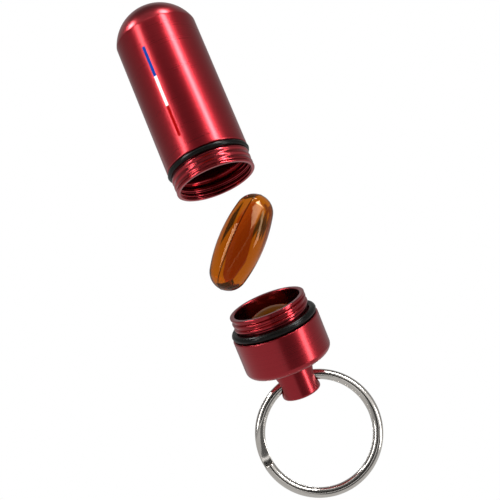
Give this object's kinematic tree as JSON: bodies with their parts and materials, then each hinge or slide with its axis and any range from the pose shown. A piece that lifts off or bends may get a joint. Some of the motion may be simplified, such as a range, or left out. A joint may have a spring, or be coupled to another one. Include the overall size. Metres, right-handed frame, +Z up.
{
  "type": "pill fob keychain",
  "caption": "Turned aluminium capsule-shaped pill holder on a split key ring, with a screw cap taken off, O-ring seals and softgels.",
  "frame": {"origin": "centre of the key ring's loop, with the ring hanging in line with the base", "axes": "+Z up the base's axis to its mouth, +X along the nipple's cross hole, -Y to the viewer"},
  "size_m": [0.025, 0.0522, 0.0992],
  "materials": {
    "red_aluminium": "fine brushed, red anodised",
    "black_rubber": "satin",
    "polished_steel": "polished",
    "amber_gel": "gloss, see-through"
  },
  "bodies": {
    "base": {"base_cup": "red_aluminium", "base_o_ring": "black_rubber", "stored_capsule": "amber_gel"},
    "ring": {"split_ring": "polished_steel"},
    "cap_seal": {"cap_o_ring": "black_rubber"},
    "cap": {"cap_shell": "red_aluminium"},
    "capsule": {"loose_capsule": "amber_gel"}
  },
  "joints": [
    {"name": "ring_swing", "type": "hinge", "parent": "base", "child": "ring", "pos_m": [0, 0, 0.01116], "axis": [1, 0, 0], "range_deg": [-82, 118]},
    {"name": "cap_close", "type": "hinge", "parent": "base", "child": "cap_seal", "pos_m": [0, 0.0528, 0.02471], "axis": [1, 0, 0], "range_deg": [0, 31.5]},
    {"name": "cap_turn", "type": "hinge", "parent": "cap_seal", "child": "cap", "pos_m": [0, 0.00778, 0.0523], "axis": [0, 0.5225, 0.8526], "continuous": true},
    {"name": "capsule_drop", "type": "hinge", "parent": "base", "child": "capsule", "pos_m": [0.0054, -0.0082, 0.03966], "axis": [-0.2899, -0.3998, -0.8696], "range_deg": [0, 109.3]}
  ]
}
